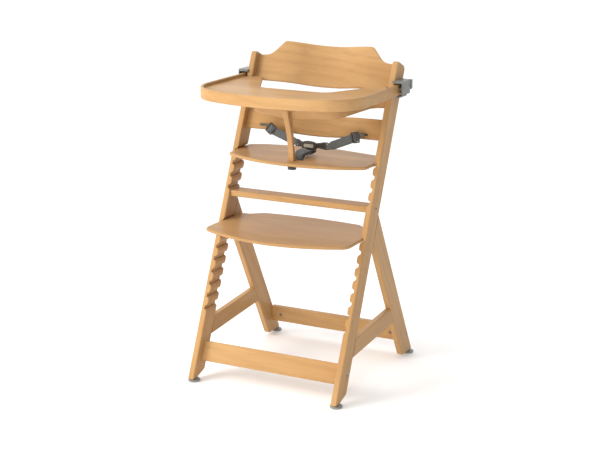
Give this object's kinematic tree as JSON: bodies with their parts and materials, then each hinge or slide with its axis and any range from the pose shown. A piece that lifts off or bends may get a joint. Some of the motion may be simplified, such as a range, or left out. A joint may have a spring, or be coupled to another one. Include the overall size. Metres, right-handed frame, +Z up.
{
  "type": "high chair",
  "caption": "Wooden high chair with leaning grooved side frames, bent backrests, sliding tray, guard rail, crotch post, seat, footrest and waist harness.",
  "frame": {"origin": "on the floor under the middle of the chair's outer box", "axes": "+X to the right seen from the front, +Y to the back, +Z up"},
  "size_m": [0.512, 0.533, 0.915],
  "materials": {
    "solid_beech": "clear satin varnish",
    "beech_plywood": "clear varnish over beech veneer",
    "zinc_steel": "zinc plated",
    "grey_plastic": "moulded, fine texture",
    "webbing": "woven polyester webbing",
    "button_plastic": "moulded",
    "dark_plastic": "moulded"
  },
  "bodies": {
    "chair_frame": {"left_front_leg": "solid_beech", "right_front_leg": "solid_beech", "left_rear_leg": "solid_beech", "right_rear_leg": "solid_beech", "left_side_brace": "solid_beech", "right_side_brace": "solid_beech", "frame_dowels": "solid_beech", "front_crossbar": "solid_beech", "seat_crossbar": "solid_beech", "rear_crossbar": "solid_beech", "crossbar_bolts": "zinc_steel", "barrel_nuts": "zinc_steel", "board_pins": "zinc_steel", "lower_backrest": "beech_plywood", "upper_backrest": "beech_plywood", "seat_plate": "beech_plywood", "guard_rail": "beech_plywood", "crotch_post": "solid_beech", "crotch_post_knob": "grey_plastic", "left_tray_clamp": "grey_plastic", "right_tray_clamp": "grey_plastic", "left_lever_pin": "zinc_steel", "right_lever_pin": "zinc_steel", "left_lever_spring": "zinc_steel", "right_lever_spring": "zinc_steel", "clamp_screws": "zinc_steel", "front_left_glide": "grey_plastic", "front_right_glide": "grey_plastic", "rear_left_glide": "grey_plastic", "rear_right_glide": "grey_plastic", "left_waist_strap": "webbing", "right_waist_strap": "webbing", "left_strap_adjuster": "dark_plastic", "right_strap_adjuster": "dark_plastic", "buckle_body": "dark_plastic", "left_buckle_tongue": "dark_plastic", "right_buckle_tongue": "dark_plastic", "crotch_strap": "webbing"},
    "tray": {"tray_rim": "beech_plywood", "tray_plate": "beech_plywood"},
    "footrest": {"footrest_plate": "beech_plywood"},
    "left_lever": {"left_release_lever": "grey_plastic"},
    "right_lever": {"right_release_lever": "grey_plastic"},
    "button": {"buckle_button": "button_plastic"}
  },
  "joints": [
    {"name": "tray_slide", "type": "slide", "parent": "chair_frame", "child": "tray", "axis": [0, -1, 0], "range_m": [0, 0.044]},
    {"name": "footrest_slide", "type": "slide", "parent": "chair_frame", "child": "footrest", "axis": [0, -1, 0], "range_m": [0, 0.045]},
    {"name": "left_lever_pivot", "type": "hinge", "parent": "chair_frame", "child": "left_lever", "pos_m": [-0.2478, 0.11353, 0.812], "axis": [0, 0, -1], "range_deg": [0, 10], "stiffness_Nm_per_rad": 0.3},
    {"name": "right_lever_pivot", "type": "hinge", "parent": "chair_frame", "child": "right_lever", "pos_m": [0.2478, 0.11353, 0.812], "axis": [0, 0, 1], "range_deg": [0, 10], "stiffness_Nm_per_rad": 0.3},
    {"name": "button_press", "type": "slide", "parent": "chair_frame", "child": "button", "axis": [0, 1, 0], "range_m": [0, 0.0024], "stiffness_N_per_m": 800}
  ]
}
